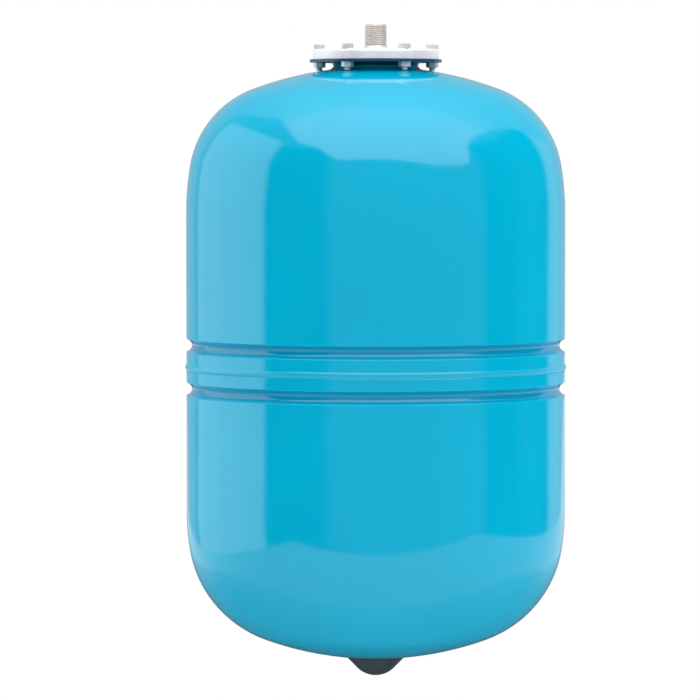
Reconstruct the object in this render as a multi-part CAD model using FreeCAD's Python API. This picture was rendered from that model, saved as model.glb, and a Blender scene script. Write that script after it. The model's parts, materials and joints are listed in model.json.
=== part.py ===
import FreeCAD, Part
import math
import os

# Expansion tank for water, hung by its pipe connection, with a replaceable bladder.
# Millimetres, +Z up. The origin is on the tank's axis, at the foot of the pipe thread.

# Pipe connection: G 3/8 male thread, 16.66 mm over its crests.
PIPE_RADIUS = 8.331
PIPE_REACH = 15.7
PIPE_BORE_RADIUS = 5.6
PIPE_CHAMFER = 1.0
PIPE_SHANK_RADIUS = 7.9
PIPE_STUB_BELOW_PLATE = 1.0
PIPE_WELD_HEIGHT = 2.8
PIPE_WELD_WIDTH = 2.6
PIPE_WELD_FULLNESS = 0.4

# Counter-flange: a pressed plate with a turned-down rim.
PLATE_RADIUS = 47.0
PLATE_THICKNESS = 2.0
PLATE_RIM_HEIGHT = 7.7
PLATE_BEND = 2.4

# Neck flange: a flat ring round the collar.
RING_RADIUS = 49.2
RING_THICKNESS = 2.0
RING_WELD = 2.0

# Flange fasteners: M5 hexagon bolts and nuts.
BOLT_COUNT = 6
BOLT_CIRCLE_RADIUS = 42.0
BOLT_RADIUS = 2.5
BOLT_LENGTH = 16.0
BOLT_END_CHAMFER = 0.5
HEX_ACROSS_FLATS = 8.0
HEAD_HEIGHT = 3.5
NUT_HEIGHT = 4.0
HEX_CHAMFER_ANGLE = 30.0
HEAD_TURN = 11.0

# Steel vessel.
TANK_RADIUS = 141.3
WALL = 1.2
COLLAR_RADIUS = 31.0
COLLAR_FILLET = 5.0
COLLAR_LAND = 0.6
UPPER_STRAIGHT = 115.5
LOWER_STRAIGHT = 108.4
UPPER_CROWN = 261.6
UPPER_KNUCKLE = 73.7
UPPER_SHOULDER = 204.0
LOWER_CROWN = 243.8
LOWER_KNUCKLE = 84.8
LOWER_SHOULDER = 169.3
SHOULDER_ANGLE = 10.0

# Rolled grooves, one each side of the seam.
GROOVE_FROM_SEAM = 16.2
GROOVE_DEPTH = 4.1
GROOVE_HALF_WIDTH = 5.3
GROOVE_EDGE_RADIUS = 0.5
GROOVE_INNER_EDGE_RADIUS = 0.2
GROOVE_FLANK_ANGLE = 62.0

# Seam: the lower half's lip stands inside the upper half, under a weld bead.
SEAM_GAP = 1.2
LIP_HEIGHT = 8.0
BEAD_HEIGHT = 4.7
BEAD_PROUD = 0.7

# Bladder.
BLADDER_WALL = 2.0
BLADDER_RIM_WIDTH = 11.5
BLADDER_NECK_LENGTH = 42.0
BLADDER_FILLET = 14.0
BLADDER_RADIUS = 100.0
BLADDER_LENGTH = 330.0

# Air valve, on the axis of the lower head.
BOSS_RADIUS = 9.0
BOSS_HEIGHT = 6.0
BOSS_SPIGOT_RADIUS = 6.4
STEM_THREAD_RADIUS = 5.0
STEM_OVER_PIN = 4.3
STEM_HEX_ACROSS_FLATS = 14.0
STEM_HEX_HEIGHT = 3.0
GASKET_THICKNESS = 1.0
GASKET_RADIUS = 7.0
STEM_RADIUS = 3.87
STEM_REACH = 10.8
STEM_CHAMFER = 0.5
STEM_BORE_RADIUS = 2.1
CORE_THREAD_RADIUS = 2.6
CORE_RECESS = 0.8
CORE_THREAD_LENGTH = 4.6
CORE_TAPER_LENGTH = 1.0
CORE_BARREL_RADIUS = 1.8
CORE_BARREL_LENGTH = 5.9
CORE_CHAMBER_RADIUS = 1.25
CORE_END_WALL = 1.0
CORE_LEDGE = 0.8
CORE_SLOT_WIDTH = 1.0
CORE_SLOT_WEB = 0.3
PIN_RADIUS = 0.4
PIN_RECESS = 0.4
PIN_TRAVEL = 1.5
PIN_COLLAR_RADIUS = 1.1
PIN_COLLAR_THICKNESS = 0.6
PIN_COLLAR_FROM_END = 1.4
PIN_HEAD_RADIUS = 1.6
PIN_HEAD_THICKNESS = 1.0
SEAL_RADIUS = 1.5
SEAL_THICKNESS = 0.7
SPRING_WIRE = 0.3
SPRING_MEAN_RADIUS = 0.85
SPRING_TURNS = 7

# Valve cover: a moulded bowl with a hub that grips the stem.
COVER_RADIUS = 22.2
COVER_DEPTH = 13.6
COVER_NOSE_RADIUS = 19.5
COVER_WALL = 1.6
HUB_WALL = 1.7
HUB_ROOT = 0.4

# Clearances.
WELDED_FIT = 0.1
BOLT_HOLE_CLEARANCE = 0.25
THREAD_CLEARANCE = 0.05
BLADDER_NECK_CLEARANCE = 0.8
PIN_CLEARANCE = 0.1
SEAT_CLEARANCE = 0.03
COVER_GAP = 0.3
GRIP_CLEARANCE = 0.05

# Heights of the flange stack, from the origin down.
plate_top = -PIPE_WELD_HEIGHT
plate_under = plate_top - PLATE_THICKNESS
ring_top = plate_top - PLATE_RIM_HEIGHT
ring_under = ring_top - RING_THICKNESS

TOP = 90.0
RIGHT = 0.0
LEFT = 180.0


def in_section(point):
    """Point of the section plane, given as radius and height."""
    return FreeCAD.Vector(point[0], 0, point[1])


def line(start, end):
    """Straight edge between two points given as radius and height."""
    return Part.LineSegment(in_section(start), in_section(end)).toShape()


def arc_through(points):
    """Arc through three points given as radius and height."""
    return Part.Arc(*[in_section(point) for point in points]).toShape()


def on_circle(centre, radius, angle):
    """Point at an angle in degrees on a circle in the plane of radius and height."""
    turn = math.radians(angle)
    return (centre[0] + radius * math.cos(turn), centre[1] + radius * math.sin(turn))


def arc(centre, radius, start, end):
    """Arc about a centre from one angle to another, in degrees."""
    return arc_through([on_circle(centre, radius, angle) for angle in (start, (start + end) / 2, end)])


def chain(points):
    """Straight edges from each point to the next."""
    return [line(start, end) for start, end in zip(points, points[1:])]


def spun(edges):
    """Solid of revolution about the tank's axis from the edges of a closed section."""
    section = Part.Face(Part.Wire(Part.sortEdges(edges)[0]))
    return section.revolve(FreeCAD.Vector(0, 0, 0), FreeCAD.Vector(0, 0, 1), 360)


def turned(points):
    """Solid of revolution from the corners of a closed section."""
    return spun(chain(points + points[:1]))


def cylinder(radius, low, high, x=0.0, y=0.0):
    """Upright cylinder between two heights."""
    return Part.makeCylinder(radius, high - low, FreeCAD.Vector(x, y, low))


def hexagon(across_flats, low, high):
    """Upright hexagonal prism with two of its flats facing the front and the back."""
    corner = across_flats / 2 / math.cos(math.radians(30))
    points = [FreeCAD.Vector(*on_circle((0, 0), corner, 60 * side), low) for side in range(7)]
    return Part.Face(Part.makePolygon(points)).extrude(FreeCAD.Vector(0, 0, high - low))


def chamfered_hexagon(across_flats, low, high, chamfer_low, chamfer_high):
    """Hexagonal prism whose corners are turned off at one end or both."""
    corner = across_flats / 2 / math.cos(math.radians(30))
    drop = (corner - across_flats / 2) * math.tan(math.radians(HEX_CHAMFER_ANGLE))
    low_edge = across_flats / 2 if chamfer_low else corner
    high_edge = across_flats / 2 if chamfer_high else corner
    blank = turned([
        (0, low),
        (low_edge, low),
        (corner, low + drop),
        (corner, high - drop),
        (high_edge, high),
        (0, high),
    ])
    return hexagon(across_flats, low, high).common(blank)


class Head:
    """Domed head of three tangent arcs, shoulder, knuckle and crown, about the tank's axis.

    Its outer face meets the cylinder at the tangent height, and `up` is 1 or -1 for the way that it bulges.
    An inset skin keeps the arcs' centres and has smaller radii.
    """

    def __init__(self, crown, knuckle, shoulder, up):
        self.crown = crown
        self.knuckle = knuckle
        self.shoulder = shoulder
        self.up = up
        turn = math.radians(SHOULDER_ANGLE)
        self.shoulder_radius = TANK_RADIUS - shoulder
        self.knuckle_radius = self.shoulder_radius + (shoulder - knuckle) * math.cos(turn)
        self.knuckle_rise = (shoulder - knuckle) * math.sin(turn)
        self.crown_rise = self.knuckle_rise - math.sqrt((crown - knuckle) ** 2 - self.knuckle_radius ** 2)
        self.depth = self.crown_rise + crown
        self.crown_angle = math.degrees(math.atan2(self.knuckle_rise - self.crown_rise, self.knuckle_radius))
        self.tangent = 0.0

    def centre(self, radius, rise):
        return (radius, self.tangent + self.up * rise)

    def skin(self, inset, end_angle):
        """Edges of a skin from the cylinder up to an angle on the crown."""
        bends = [
            (self.shoulder_radius, 0, self.shoulder, 0, SHOULDER_ANGLE),
            (self.knuckle_radius, self.knuckle_rise, self.knuckle, SHOULDER_ANGLE, self.crown_angle),
            (0, self.crown_rise, self.crown, self.crown_angle, end_angle),
        ]
        return [
            arc(self.centre(across, rise), radius - inset, self.up * start, self.up * end)
            for across, rise, radius, start, end in bends
        ]

    def angle_at(self, radius, inset=0.0):
        """Angle on the crown at a distance from the axis."""
        return math.degrees(math.acos(radius / (self.crown - inset)))

    def height_at(self, radius, inset=0.0):
        """Height of the crown at a distance from the axis."""
        return self.centre(0, self.crown_rise + math.sqrt((self.crown - inset) ** 2 - radius ** 2))[1]


upper_head = Head(UPPER_CROWN, UPPER_KNUCKLE, UPPER_SHOULDER, 1)
lower_head = Head(LOWER_CROWN, LOWER_KNUCKLE, LOWER_SHOULDER, -1)
flare_centre_radius = COLLAR_RADIUS + COLLAR_FILLET
flare_rise = math.sqrt((UPPER_CROWN + COLLAR_FILLET) ** 2 - flare_centre_radius ** 2) - UPPER_CROWN
upper_head.tangent = ring_under - COLLAR_LAND - flare_rise - upper_head.depth
seam = upper_head.tangent - UPPER_STRAIGHT
lower_head.tangent = seam - LOWER_STRAIGHT
bottom = lower_head.tangent - lower_head.depth

lip_radius = TANK_RADIUS - WALL - WELDED_FIT
bolt_hole_radius = BOLT_RADIUS + BOLT_HOLE_CLEARANCE
bladder_neck_radius = COLLAR_RADIUS - WALL - BLADDER_NECK_CLEARANCE


def neck_fillet(crown_centre, crown, neck_radius, fillet):
    """Hollow fillet between a dome and a neck: its centre, and the angle where it leaves the dome."""
    radius = neck_radius + fillet
    rise = math.sqrt((crown + fillet) ** 2 - radius ** 2)
    return (radius, crown_centre[1] + rise), math.degrees(math.atan2(rise, radius))


def collar_flare():
    """Fillet where the upper head is pulled up into the collar."""
    crown_centre = upper_head.centre(0, upper_head.crown_rise)
    return neck_fillet(crown_centre, UPPER_CROWN, COLLAR_RADIUS, COLLAR_FILLET)


def groove(middle, inset):
    """Edges of a rolled groove in the cylinder wall, and the heights where they start and end.

    Each flank is straight between a small arc at the wall and the wide arc of the root.
    """
    turn = math.radians(GROOVE_FLANK_ANGLE)
    corner = GROOVE_HALF_WIDTH - GROOVE_EDGE_RADIUS * math.tan(turn / 2)
    to_centre = (corner * math.sin(turn) - GROOVE_DEPTH * math.cos(turn)) / (1 - math.cos(turn))
    root = (TANK_RADIUS - GROOVE_DEPTH + to_centre, middle)
    inside = to_centre + inset
    outside = max(GROOVE_EDGE_RADIUS - inset, GROOVE_INNER_EDGE_RADIUS)
    half = corner + (inset + outside) * math.tan(turn / 2)
    edges = [arc(root, inside, LEFT - GROOVE_FLANK_ANGLE, LEFT + GROOVE_FLANK_ANGLE)]
    for side in (1, -1):
        leaning = -side * GROOVE_FLANK_ANGLE
        rim = (TANK_RADIUS - inset - outside, middle + side * half)
        edges.append(arc(rim, outside, 0, leaning))
        edges.append(line(on_circle(rim, outside, leaning), on_circle(root, inside, LEFT + leaning)))
    return edges, middle + half, middle - half


def upper_skin(inset):
    """One face of the upper half, from the collar's top to the seam."""
    radius = COLLAR_RADIUS - inset
    middle = seam + GROOVE_FROM_SEAM
    centre, angle = collar_flare()
    wall = TANK_RADIUS - inset
    edges = [line((radius, ring_top), (radius, centre[1]))]
    edges.append(arc(centre, COLLAR_FILLET + inset, LEFT, LEFT + angle))
    edges += upper_head.skin(inset, angle)
    hollow, high, low = groove(middle, inset)
    edges.append(line((wall, upper_head.tangent), (wall, high)))
    edges.append(line((wall, low), (wall, seam + SEAM_GAP / 2)))
    return edges + hollow


def make_upper_shell():
    outer = upper_skin(0)
    inner = upper_skin(WALL)
    top = line((COLLAR_RADIUS, ring_top), (COLLAR_RADIUS - WALL, ring_top))
    foot = line((TANK_RADIUS, seam + SEAM_GAP / 2), (TANK_RADIUS - WALL, seam + SEAM_GAP / 2))
    return spun(outer + inner + [top, foot])


def lower_skin(inset, hole_radius):
    """One face of the lower half, from below the seam to the valve hole."""
    middle = seam - GROOVE_FROM_SEAM
    wall = TANK_RADIUS - inset
    hollow, high, low = groove(middle, inset)
    edges = [line((wall, seam - BEAD_HEIGHT / 2 - inset), (wall, high))]
    edges.append(line((wall, low), (wall, lower_head.tangent)))
    edges += lower_head.skin(inset, lower_head.angle_at(hole_radius, inset))
    return edges + hollow


def make_lower_shell():
    hole = BOSS_SPIGOT_RADIUS + WELDED_FIT
    lip_top = seam + LIP_HEIGHT
    joggle = chain([
        (TANK_RADIUS, seam - BEAD_HEIGHT / 2),
        (lip_radius, seam - SEAM_GAP / 2),
        (lip_radius, lip_top),
        (lip_radius - WALL, lip_top),
        (lip_radius - WALL, seam - SEAM_GAP / 2 - WALL / 2),
        (TANK_RADIUS - WALL, seam - BEAD_HEIGHT / 2 - WALL),
    ])
    hole_edge = line((hole, lower_head.height_at(hole)), (hole, lower_head.height_at(hole, WALL)))
    return spun(lower_skin(0, hole) + joggle + lower_skin(WALL, hole) + [hole_edge])


def make_girth_weld():
    """Bead that fills the corner between the halves and stands a little proud of them."""
    half = BEAD_HEIGHT / 2
    radius = (half ** 2 + BEAD_PROUD ** 2) / (2 * BEAD_PROUD)
    spread = math.degrees(math.asin(half / radius))
    crest = arc((TANK_RADIUS + BEAD_PROUD - radius, seam), radius, spread, -spread)
    root = chain([
        (TANK_RADIUS, seam - half),
        (lip_radius, seam - SEAM_GAP / 2),
        (lip_radius, seam + SEAM_GAP / 2),
        (TANK_RADIUS, seam + SEAM_GAP / 2),
        (TANK_RADIUS, seam + half),
    ])
    return spun([crest] + root)


def bolt_places():
    """Place of each flange bolt round the neck, as x and y."""
    return [on_circle((0, 0), BOLT_CIRCLE_RADIUS, 360 / BOLT_COUNT * number) for number in range(BOLT_COUNT)]


def drilled(plate, low, high):
    """Plate with the flange's bolt holes through it."""
    for x, y in bolt_places():
        plate = plate.cut(cylinder(bolt_hole_radius, low, high, x, y))
    return plate


def make_neck_flange():
    bore = COLLAR_RADIUS + WELDED_FIT
    ring = cylinder(RING_RADIUS, ring_under, ring_top).cut(cylinder(bore, ring_under, ring_top))
    return drilled(ring, ring_under, ring_top)


def make_neck_weld():
    """Fillet in the corner under the neck flange, against the collar's flare."""
    centre = collar_flare()[0]
    toe_angle = math.degrees(math.asin(RING_WELD / COLLAR_FILLET))
    toe = on_circle(centre, COLLAR_FILLET, LEFT + toe_angle)
    edges = [arc(centre, COLLAR_FILLET, LEFT, LEFT + toe_angle)]
    edges += chain([toe, (COLLAR_RADIUS + RING_WELD, ring_under), (COLLAR_RADIUS, ring_under)])
    edges.append(line((COLLAR_RADIUS, ring_under), (COLLAR_RADIUS, centre[1])))
    return spun(edges)


def make_counter_flange():
    """Pressed plate: flat top, bent edge and turned-down rim that stands on the neck flange."""
    hole = PIPE_SHANK_RADIUS + WELDED_FIT
    bend = PLATE_RADIUS - PLATE_BEND
    inner_bend = PLATE_BEND - PLATE_THICKNESS
    centre = (bend, plate_top - PLATE_BEND)
    inner = PLATE_RADIUS - PLATE_THICKNESS
    edges = [
        arc(centre, PLATE_BEND, TOP, RIGHT),
        arc(centre, inner_bend, TOP, RIGHT),
    ]
    edges += chain([
        (bend, plate_under),
        (hole, plate_under),
        (hole, plate_top),
        (bend, plate_top),
    ])
    edges += chain([
        (PLATE_RADIUS, centre[1]),
        (PLATE_RADIUS, ring_top),
        (inner, ring_top),
        (inner, centre[1]),
    ])
    return drilled(spun(edges), ring_top, plate_top)


def make_pipe_nozzle():
    """Tube with a plain shank in the plate, and above it the thread's full size, chamfered at its end."""
    foot = plate_under - PIPE_STUB_BELOW_PLATE
    return turned([
        (PIPE_BORE_RADIUS, foot),
        (PIPE_SHANK_RADIUS, foot),
        (PIPE_SHANK_RADIUS, 0),
        (PIPE_RADIUS, 0),
        (PIPE_RADIUS, PIPE_REACH - PIPE_CHAMFER),
        (PIPE_RADIUS - PIPE_CHAMFER, PIPE_REACH),
        (PIPE_BORE_RADIUS, PIPE_REACH),
    ])


def make_nozzle_weld():
    """Fillet round the nozzle's shank. Its fullness is 0.5 for a flat face and less for a hollow one."""
    toe = (PIPE_SHANK_RADIUS + PIPE_WELD_WIDTH, plate_top)
    top = (PIPE_SHANK_RADIUS, 0)
    root = (PIPE_SHANK_RADIUS, plate_top)
    out = PIPE_WELD_WIDTH * PIPE_WELD_FULLNESS
    up = PIPE_WELD_HEIGHT * PIPE_WELD_FULLNESS
    return spun([arc_through([toe, (root[0] + out, root[1] + up), top])] + chain([top, root, toe]))


def make_flange_bolt(number):
    """Hexagon bolt with its head on the counter-flange."""
    end = plate_top - BOLT_LENGTH
    shank = turned([
        (0, plate_top),
        (BOLT_RADIUS, plate_top),
        (BOLT_RADIUS, end + BOLT_END_CHAMFER),
        (BOLT_RADIUS - BOLT_END_CHAMFER, end),
        (0, end),
    ])
    head = chamfered_hexagon(HEX_ACROSS_FLATS, plate_top, plate_top + HEAD_HEIGHT, False, True)
    bolt = head.fuse(shank).removeSplitter()
    bolt.rotate(FreeCAD.Vector(0, 0, 0), FreeCAD.Vector(0, 0, 1), HEAD_TURN * number)
    x, y = bolt_places()[number]
    bolt.translate(FreeCAD.Vector(x, y, 0))
    return bolt


def make_flange_nut(number):
    """Hexagon nut under the neck flange."""
    low = ring_under - NUT_HEIGHT
    nut = chamfered_hexagon(HEX_ACROSS_FLATS, low, ring_under, True, True)
    nut = nut.cut(cylinder(BOLT_RADIUS + THREAD_CLEARANCE, low, ring_under))
    x, y = bolt_places()[number]
    nut.translate(FreeCAD.Vector(x, y, 0))
    return nut


def bladder_skin(inset):
    """One face of the rubber bag, from the neck's top to the axis at its lower end."""
    radius = bladder_neck_radius - inset
    ball = BLADDER_RADIUS - inset
    top_centre = (0, ring_top - BLADDER_NECK_LENGTH - BLADDER_RADIUS)
    low_centre = (0, ring_top - BLADDER_NECK_LENGTH - BLADDER_LENGTH + BLADDER_RADIUS)
    centre, angle = neck_fillet(top_centre, BLADDER_RADIUS, bladder_neck_radius, BLADDER_FILLET)
    return [
        line((radius, ring_top), (radius, centre[1])),
        arc(centre, BLADDER_FILLET + inset, LEFT, LEFT + angle),
        arc(top_centre, ball, angle, 0),
        line((ball, top_centre[1]), (ball, low_centre[1])),
        arc(low_centre, ball, 0, -90),
    ]


def make_bladder():
    """Rubber bag as moulded, its rim clamped between the two flanges."""
    rim = bladder_neck_radius - BLADDER_WALL + BLADDER_RIM_WIDTH
    inner = bladder_neck_radius - BLADDER_WALL
    low = ring_top - BLADDER_NECK_LENGTH - BLADDER_LENGTH
    edges = bladder_skin(0) + bladder_skin(BLADDER_WALL)
    edges += chain([
        (bladder_neck_radius, ring_top),
        (rim, ring_top),
        (rim, plate_under),
        (inner, plate_under),
        (inner, ring_top),
    ])
    edges.append(line((0, low), (0, low + BLADDER_WALL)))
    return spun(edges)


hex_top = bottom - GASKET_THICKNESS
hex_under = hex_top - STEM_HEX_HEIGHT
stem_mouth = bottom - STEM_REACH
core_end = stem_mouth + CORE_RECESS
core_step = core_end + CORE_THREAD_LENGTH
core_seat = core_step + CORE_BARREL_LENGTH
chamber_top = core_seat - CORE_LEDGE
pin_tip = stem_mouth + PIN_RECESS
pin_collar = core_end + CORE_END_WALL + PIN_COLLAR_FROM_END
seal_under = core_seat + SEAT_CLEARANCE
seal_top = seal_under + SEAL_THICKNESS
stem_top = seal_top + PIN_HEAD_THICKNESS + PIN_TRAVEL + STEM_OVER_PIN


def make_valve_boss():
    """Threaded steel boss whose spigot fills the hole in the lower head."""
    bore = STEM_THREAD_RADIUS + THREAD_CLEARANCE
    seat = lower_head.height_at(BOSS_RADIUS, WALL)
    return turned([
        (bore, bottom),
        (BOSS_SPIGOT_RADIUS, bottom),
        (BOSS_SPIGOT_RADIUS, seat),
        (BOSS_RADIUS, seat),
        (BOSS_RADIUS, seat + BOSS_HEIGHT),
        (bore, seat + BOSS_HEIGHT),
    ])


def make_valve_gasket():
    return turned([
        (STEM_THREAD_RADIUS + THREAD_CLEARANCE, hex_top),
        (GASKET_RADIUS, hex_top),
        (GASKET_RADIUS, bottom),
        (STEM_THREAD_RADIUS + THREAD_CLEARANCE, bottom),
    ])


def make_valve_stem():
    """Valve body: thread into the boss, hexagon, and the threaded tip that a pump is put on."""
    tip = turned([
        (0, stem_mouth),
        (STEM_RADIUS - STEM_CHAMFER, stem_mouth),
        (STEM_RADIUS, stem_mouth + STEM_CHAMFER),
        (STEM_RADIUS, hex_under),
        (STEM_THREAD_RADIUS, hex_top),
        (STEM_THREAD_RADIUS, stem_top),
        (0, stem_top),
    ])
    body = tip.fuse(chamfered_hexagon(STEM_HEX_ACROSS_FLATS, hex_under, hex_top, True, False))
    wide = CORE_THREAD_RADIUS + THREAD_CLEARANCE
    bore = turned([
        (0, stem_mouth),
        (wide, stem_mouth),
        (wide, core_step),
        (STEM_BORE_RADIUS, core_step + CORE_TAPER_LENGTH),
        (STEM_BORE_RADIUS, stem_top),
        (0, stem_top),
    ])
    return body.cut(bore).removeSplitter()


def make_core_housing():
    """Barrel of the valve core: threaded end with two key slots, spring chamber and seat."""
    pin_hole = PIN_RADIUS + PIN_CLEARANCE
    body = turned([
        (pin_hole, core_end),
        (CORE_THREAD_RADIUS, core_end),
        (CORE_THREAD_RADIUS, core_step),
        (CORE_BARREL_RADIUS, core_step),
        (CORE_BARREL_RADIUS, core_seat),
        (pin_hole, core_seat),
        (pin_hole, chamber_top),
        (CORE_CHAMBER_RADIUS, chamber_top),
        (CORE_CHAMBER_RADIUS, core_end + CORE_END_WALL),
        (pin_hole, core_end + CORE_END_WALL),
    ])
    slot_start = pin_hole + CORE_SLOT_WEB
    slot_length = CORE_THREAD_RADIUS - slot_start
    for x in (slot_start, -CORE_THREAD_RADIUS):
        corner = FreeCAD.Vector(x, -CORE_SLOT_WIDTH / 2, core_end)
        body = body.cut(Part.makeBox(slot_length, CORE_SLOT_WIDTH, CORE_END_WALL, corner))
    return body


def make_core_gasket():
    """Tapered ring between the core's barrel and the stem's bore."""
    inner = CORE_BARREL_RADIUS + THREAD_CLEARANCE
    return turned([
        (inner, core_step),
        (CORE_THREAD_RADIUS - THREAD_CLEARANCE, core_step),
        (STEM_BORE_RADIUS - THREAD_CLEARANCE, core_step + CORE_TAPER_LENGTH),
        (inner, core_step + CORE_TAPER_LENGTH),
    ])


def make_core_pin():
    """Pin with the collar that the spring pushes on and the head that carries the seal."""
    collar_top = pin_collar + PIN_COLLAR_THICKNESS
    return turned([
        (0, pin_tip),
        (PIN_RADIUS, pin_tip),
        (PIN_RADIUS, pin_collar),
        (PIN_COLLAR_RADIUS, pin_collar),
        (PIN_COLLAR_RADIUS, collar_top),
        (PIN_RADIUS, collar_top),
        (PIN_RADIUS, seal_top),
        (PIN_HEAD_RADIUS, seal_top),
        (PIN_HEAD_RADIUS, seal_top + PIN_HEAD_THICKNESS),
        (0, seal_top + PIN_HEAD_THICKNESS),
    ])


def make_core_seal():
    return cylinder(SEAL_RADIUS, seal_under, seal_top).cut(cylinder(PIN_RADIUS, seal_under, seal_top))


def make_core_spring():
    """Helical spring between the pin's collar and the ledge under the seat."""
    low = pin_collar + PIN_COLLAR_THICKNESS + SPRING_WIRE / 2 + SEAT_CLEARANCE
    high = chamber_top - SPRING_WIRE / 2 - SEAT_CLEARANCE
    pitch = (high - low) / SPRING_TURNS
    path = Part.makeHelix(pitch, high - low, SPRING_MEAN_RADIUS)
    ring = Part.makeCircle(SPRING_WIRE / 2, FreeCAD.Vector(SPRING_MEAN_RADIUS, 0, 0), FreeCAD.Vector(0, 1, 0))
    wire = Part.Wire(path).makePipeShell([Part.Wire(ring)], True, True)
    wire.translate(FreeCAD.Vector(0, 0, low))
    return wire


def make_valve_cover():
    """Bowl with a round nose and a cone up to the lower head, and a hub that grips the stem."""
    rim_height = lower_head.height_at(COVER_RADIUS) - COVER_GAP
    centre = (0, bottom - COVER_DEPTH + COVER_NOSE_RADIUS)
    reach = math.hypot(COVER_RADIUS, rim_height - centre[1])
    lean = math.degrees(math.atan2(rim_height - centre[1], COVER_RADIUS))
    tangent = lean - math.degrees(math.acos(COVER_NOSE_RADIUS / reach))
    outer = on_circle(centre, COVER_NOSE_RADIUS, tangent)
    inner = on_circle(centre, COVER_NOSE_RADIUS - COVER_WALL, tangent)
    along = (rim_height - inner[1]) * (COVER_RADIUS - outer[0]) / (rim_height - outer[1])
    inner_rim = inner[0] + along
    floor = bottom - COVER_DEPTH + COVER_WALL
    bowl = spun([
        arc(centre, COVER_NOSE_RADIUS, -90, tangent),
        line(outer, (COVER_RADIUS, rim_height)),
        line((COVER_RADIUS, rim_height), (inner_rim, rim_height)),
        line((inner_rim, rim_height), inner),
        arc(centre, COVER_NOSE_RADIUS - COVER_WALL, tangent, -90),
        line((0, floor), (0, bottom - COVER_DEPTH)),
    ])
    bore = STEM_RADIUS + GRIP_CLEARANCE
    hub_top = hex_under - COVER_GAP
    hub = cylinder(bore + HUB_WALL, floor - HUB_ROOT, hub_top).cut(cylinder(bore, floor, hub_top))
    return bowl.fuse(hub).removeSplitter()


def save(name, solid):
    """Writes one piece, and stops if it is not a single sound solid."""
    piece = solid.Solids[0] if len(solid.Solids) == 1 else solid
    if len(solid.Solids) != 1 or not piece.isValid():
        raise ValueError(name + " is not one sound solid")
    piece.exportStep("parts/" + name + ".step")
    print(f"{name:16s} {piece.Volume:12.1f} mm3")


def main():
    os.makedirs("parts", exist_ok=True)
    save("upper_shell", make_upper_shell())
    save("lower_shell", make_lower_shell())
    save("girth_weld", make_girth_weld())
    save("neck_flange", make_neck_flange())
    save("neck_weld", make_neck_weld())
    save("counter_flange", make_counter_flange())
    save("pipe_nozzle", make_pipe_nozzle())
    save("nozzle_weld", make_nozzle_weld())
    save("bladder", make_bladder())
    for number in range(BOLT_COUNT):
        save(f"flange_bolt_{number + 1}", make_flange_bolt(number))
        save(f"flange_nut_{number + 1}", make_flange_nut(number))
    save("valve_boss", make_valve_boss())
    save("valve_gasket", make_valve_gasket())
    save("valve_stem", make_valve_stem())
    save("core_housing", make_core_housing())
    save("core_gasket", make_core_gasket())
    save("core_pin", make_core_pin())
    save("core_seal", make_core_seal())
    save("core_spring", make_core_spring())
    save("valve_cover", make_valve_cover())
    print(f"seam {seam:.3f}  bottom {bottom:.3f}  upper tangent {upper_head.tangent:.3f}")
    print(f"lower tangent {lower_head.tangent:.3f}  stem mouth {stem_mouth:.3f}  hex under {hex_under:.3f}")
    print(f"spring ledge {chamber_top:.3f}")


main()
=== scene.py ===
# %% [markdown]
# # A hanging expansion tank
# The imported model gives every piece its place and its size. This script gives each surface its finish, makes
# the pieces with fine form again as dense meshes, and sets up a plain studio with a long lens. Everything is
# in metres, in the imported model's own frame: the origin is at the foot of the pipe thread, and +Z points up.

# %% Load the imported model
import json
import math

import bpy
import numpy as np
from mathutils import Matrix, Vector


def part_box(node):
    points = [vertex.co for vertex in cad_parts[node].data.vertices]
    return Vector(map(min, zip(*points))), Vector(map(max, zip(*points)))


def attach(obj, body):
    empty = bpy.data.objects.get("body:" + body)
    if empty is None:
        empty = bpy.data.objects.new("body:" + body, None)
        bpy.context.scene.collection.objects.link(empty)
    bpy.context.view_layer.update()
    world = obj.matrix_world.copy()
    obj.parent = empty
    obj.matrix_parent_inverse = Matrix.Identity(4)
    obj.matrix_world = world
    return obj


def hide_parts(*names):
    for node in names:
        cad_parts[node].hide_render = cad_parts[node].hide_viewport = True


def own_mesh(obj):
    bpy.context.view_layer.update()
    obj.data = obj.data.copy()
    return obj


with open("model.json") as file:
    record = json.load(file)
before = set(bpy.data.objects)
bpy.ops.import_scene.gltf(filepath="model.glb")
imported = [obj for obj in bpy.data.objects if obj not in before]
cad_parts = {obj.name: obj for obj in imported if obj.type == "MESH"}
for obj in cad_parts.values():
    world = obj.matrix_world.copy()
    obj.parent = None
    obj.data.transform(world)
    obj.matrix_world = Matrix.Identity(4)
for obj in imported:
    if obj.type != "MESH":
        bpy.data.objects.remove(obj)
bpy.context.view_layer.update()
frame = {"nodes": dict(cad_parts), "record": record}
nodes = frame["nodes"]
MM = 0.001


def placed(name, data):
    """New object in the scene, made from a camera, a lamp or a mesh."""
    thing = bpy.data.objects.new(name, data)
    bpy.context.scene.collection.objects.link(thing)
    return thing


# %% [markdown]
# ## Camera
# The tank was seen from far away through a long lens, which keeps its sides almost parallel. A camera close
# by would make it bulge. The distance comes from how much the ring of bolts narrows towards its back, and the
# focal length from the distance and the size in the picture. The line of sight points slightly down and
# passes a little to the left of the tank's axis, so no lens shift is needed.

# %% Camera
PICTURE_PIXELS = 700
FOCAL_PIXELS = 4428
SENSOR_WIDTH = 36.0
CAMERA_PLACE = (-19.19 * MM, -3304.0 * MM, -79.0 * MM)
LOOK_DOWN = math.radians(2.564)

lens = bpy.data.cameras.new("camera")
lens.sensor_width = SENSOR_WIDTH
lens.lens = FOCAL_PIXELS / PICTURE_PIXELS * SENSOR_WIDTH
camera = placed("camera", lens)
camera.location = CAMERA_PLACE
camera.rotation_euler = (math.radians(90) - LOOK_DOWN, 0, 0)
bpy.context.scene.camera = camera
bpy.context.scene.view_settings.view_transform = "Standard"
print("focal length in mm:", round(lens.lens, 1))

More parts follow.
